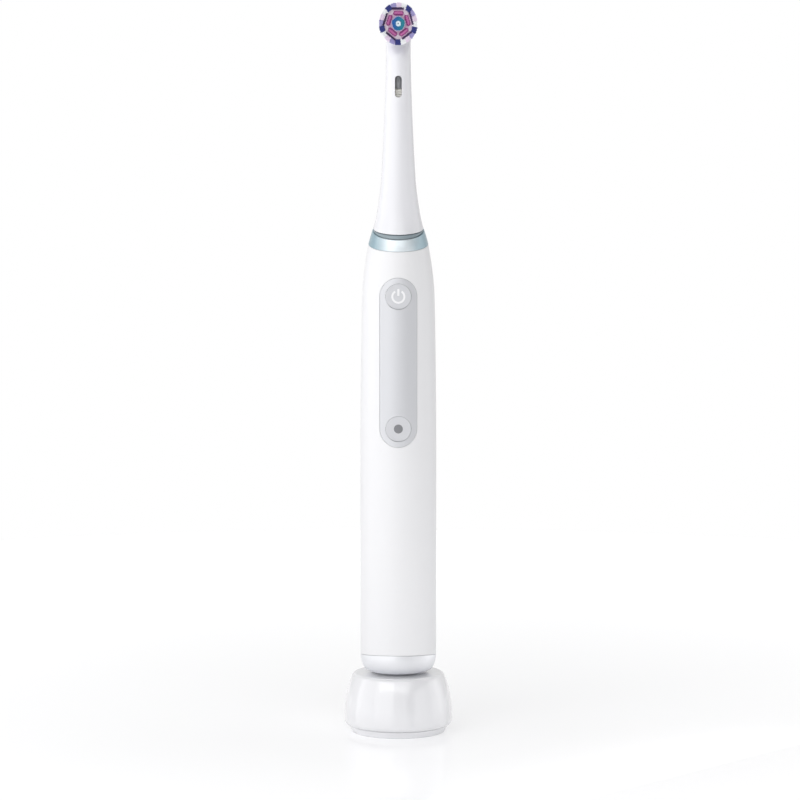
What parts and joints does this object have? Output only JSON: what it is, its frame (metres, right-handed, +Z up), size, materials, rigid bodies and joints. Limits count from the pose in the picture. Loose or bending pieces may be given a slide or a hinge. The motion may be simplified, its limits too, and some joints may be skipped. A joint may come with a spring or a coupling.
{
  "type": "electric toothbrush on charger",
  "caption": "Electric toothbrush with a round oscillating brush head, light ring and front button panel, standing on a small round inductive charger.",
  "frame": {"origin": "middle of the charger's underside, on the surface it stands on", "axes": "+Z up along the handle, -Y towards the front with the buttons and bristles, +X to the right seen from the front"},
  "size_m": [0.04, 0.04, 0.2703],
  "materials": {
    "white_gloss": "glossy white moulded plastic",
    "white_satin": "satin white moulded plastic",
    "silver_cap": "glossy silver-grey plastic",
    "panel_grey": "soft light grey plastic",
    "button_grey": "satin light grey plastic",
    "ring_lens": "clear blue-white light ring",
    "band_grey": "grey-teal gloss plastic",
    "inner_plastic": "plain inner moulding",
    "seal_rubber": "dark grey rubber",
    "copper_wire": "lacquered copper winding",
    "bright_steel": "bright steel",
    "dark_steel": "dark plated steel",
    "ferrite": "dull black ferrite",
    "board": "green circuit board",
    "black_plastic": "black moulded plastic",
    "cell": "wrapped metal cell",
    "bronze": "sintered bronze",
    "rod_grey": "dark grey plastic",
    "bristle_indigo": "nylon bristles, indigo to white",
    "bristle_magenta": "nylon bristles, magenta",
    "bristle_teal": "nylon bristles, blue and teal"
  },
  "bodies": {
    "charger": {"charger_housing": "white_gloss", "charger_base_plate": "white_gloss", "primary_coil": "copper_wire", "primary_former": "inner_plastic", "ferrite_core": "ferrite", "charger_board": "board", "cord_gland": "seal_rubber"},
    "handle": {"handle_shell": "white_satin", "bottom_cap": "silver_cap", "cap_seal": "seal_rubber", "secondary_coil": "copper_wire", "secondary_former": "inner_plastic", "battery_cell": "cell", "lower_contact": "bright_steel", "upper_contact": "bright_steel", "chassis": "inner_plastic", "circuit_board": "board", "power_switch": "black_plastic", "mode_switch": "black_plastic", "control_chip": "black_plastic", "front_panel": "panel_grey", "light_ring": "ring_lens", "light_guide": "ring_lens", "neck_cap": "band_grey", "neck_seal": "seal_rubber", "mount_post": "bright_steel", "shaft_seal": "seal_rubber", "shaft_bush": "bronze", "motor_yoke": "dark_steel", "lower_stator_coil": "copper_wire", "upper_stator_coil": "copper_wire", "lower_spring": "bright_steel", "upper_spring": "bright_steel"},
    "power_button": {"power_button": "button_grey"},
    "mode_button": {"mode_button": "button_grey"},
    "drive": {"drive_shaft": "bright_steel", "armature": "dark_steel", "lower_magnet": "bright_steel", "upper_magnet": "bright_steel"},
    "brush_head": {"head_shell": "white_gloss", "mount_sleeve": "inner_plastic", "rod_guide": "inner_plastic", "disc_axle": "bright_steel"},
    "push_rod": {"push_rod": "rod_grey", "rod_magnet": "dark_steel"},
    "brush_disc": {"bristle_carrier": "white_gloss", "crank_pin": "bright_steel", "outer_tuft_1": "bristle_indigo", "outer_tuft_2": "bristle_indigo", "outer_tuft_3": "bristle_indigo", "outer_tuft_4": "bristle_indigo", "outer_tuft_5": "bristle_indigo", "inner_tuft_1": "bristle_magenta", "inner_tuft_2": "bristle_magenta", "inner_tuft_3": "bristle_magenta", "inner_tuft_4": "bristle_magenta", "inner_tuft_5": "bristle_magenta", "centre_tuft": "bristle_teal"}
  },
  "joints": [
    {"name": "handle_lift", "type": "slide", "parent": "charger", "child": "handle", "axis": [0, 0, 1], "range_m": [0, 0.04]},
    {"name": "power_press", "type": "slide", "parent": "handle", "child": "power_button", "axis": [0, 1, 0], "range_m": [0, 0.0005], "stiffness_N_per_m": 1000},
    {"name": "mode_press", "type": "slide", "parent": "handle", "child": "mode_button", "axis": [0, 1, 0], "range_m": [0, 0.0005], "stiffness_N_per_m": 1000},
    {"name": "drive_stroke", "type": "slide", "parent": "handle", "child": "drive", "axis": [0, 0, 1], "range_m": [-0.0008, 0.0008], "stiffness_N_per_m": 1500, "deforming": ["lower_spring", "upper_spring"]},
    {"name": "head_pull", "type": "slide", "parent": "handle", "child": "brush_head", "axis": [0, 0, 1], "range_m": [0, 0.03]},
    {"name": "rod_stroke", "type": "slide", "parent": "brush_head", "child": "push_rod", "axis": [0, 0, 1], "range_m": [-0.0009, 0.0009]},
    {"name": "disc_turn", "type": "hinge", "parent": "brush_head", "child": "brush_disc", "pos_m": [0, 0, 0.2625], "axis": [0, -1, 0], "range_deg": [-16.5, 16.5]}
  ],
  "couplings": [
    {"joint": "rod_stroke", "follows": "drive_stroke", "ratio": 1},
    {"joint": "disc_turn", "follows": "drive_stroke", "rad_per_m": 333.33}
  ]
}
